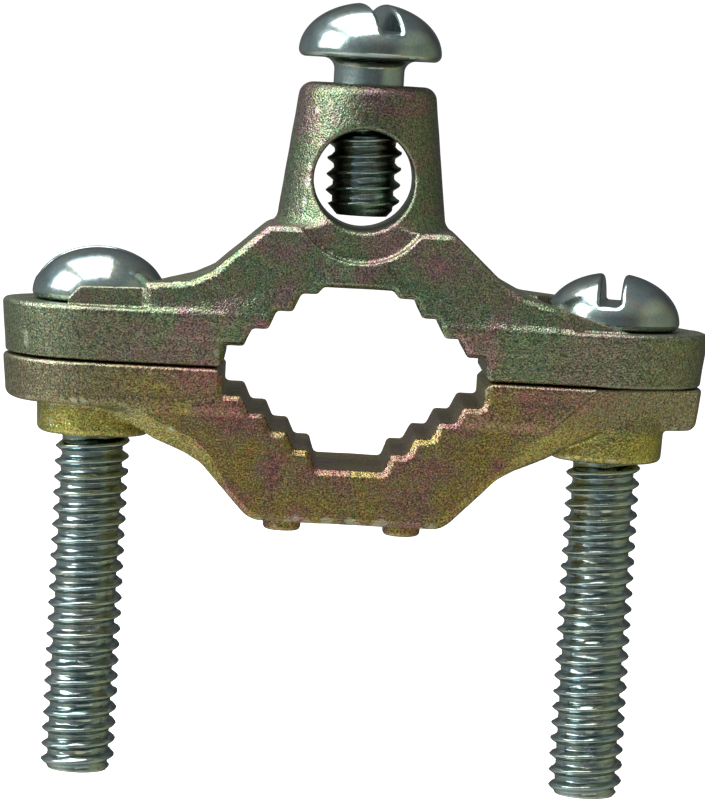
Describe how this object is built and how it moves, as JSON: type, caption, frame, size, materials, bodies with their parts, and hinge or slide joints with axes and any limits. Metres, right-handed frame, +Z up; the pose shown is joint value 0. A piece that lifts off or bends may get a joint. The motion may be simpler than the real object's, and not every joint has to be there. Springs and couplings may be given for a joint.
{
  "type": "pipe grounding clamp",
  "caption": "Two stepped-tooth jaws drawn together round a pipe by side screws, with a drilled wire lug and its binding screw on the upper jaw.",
  "frame": {"origin": "middle of the flat pipe seat in the upper jaw", "axes": "+X along the jaws towards the right clamp screw, +Y along the pipe, away from the viewer, +Z up through the wire lug, parallel to all the screws"},
  "size_m": [0.0564, 0.0152, 0.0626],
  "materials": {
    "upper_jaw": "die-cast zinc, yellow-green chromate, satin",
    "lower_jaw": "die-cast zinc, gold and rose chromate, satin",
    "screws": "bright zinc plate"
  },
  "bodies": {
    "upper_jaw": {"upper_jaw": "upper_jaw"},
    "lower_jaw": {"lower_jaw": "lower_jaw"},
    "left_clamp_screw": {"left_clamp_screw": "screws"},
    "right_clamp_screw": {"right_clamp_screw": "screws"},
    "wire_screw": {"wire_screw": "screws"}
  },
  "joints": [
    {"name": "jaw_slide", "type": "slide", "parent": "upper_jaw", "child": "lower_jaw", "axis": [0, 0, -1], "range_m": [0, 0.02667]},
    {"name": "left_screw_turn", "type": "hinge", "parent": "upper_jaw", "child": "left_clamp_screw", "pos_m": [-0.0205, 0, -0.0021], "axis": [0, 0, 1], "range_deg": [0, 7561]},
    {"name": "right_screw_turn", "type": "hinge", "parent": "upper_jaw", "child": "right_clamp_screw", "pos_m": [0.0205, 0, -0.0021], "axis": [0, 0, 1], "range_deg": [0, 7561]},
    {"name": "wire_screw_slide", "type": "slide", "parent": "upper_jaw", "child": "wire_screw", "axis": [0, 0, 1], "range_m": [-0.0004, 0.0068]}
  ],
  "couplings": [
    {"joint": "left_screw_turn", "follows": "jaw_slide", "rad_per_m": 4947.4},
    {"joint": "right_screw_turn", "follows": "jaw_slide", "rad_per_m": 4947.4}
  ]
}
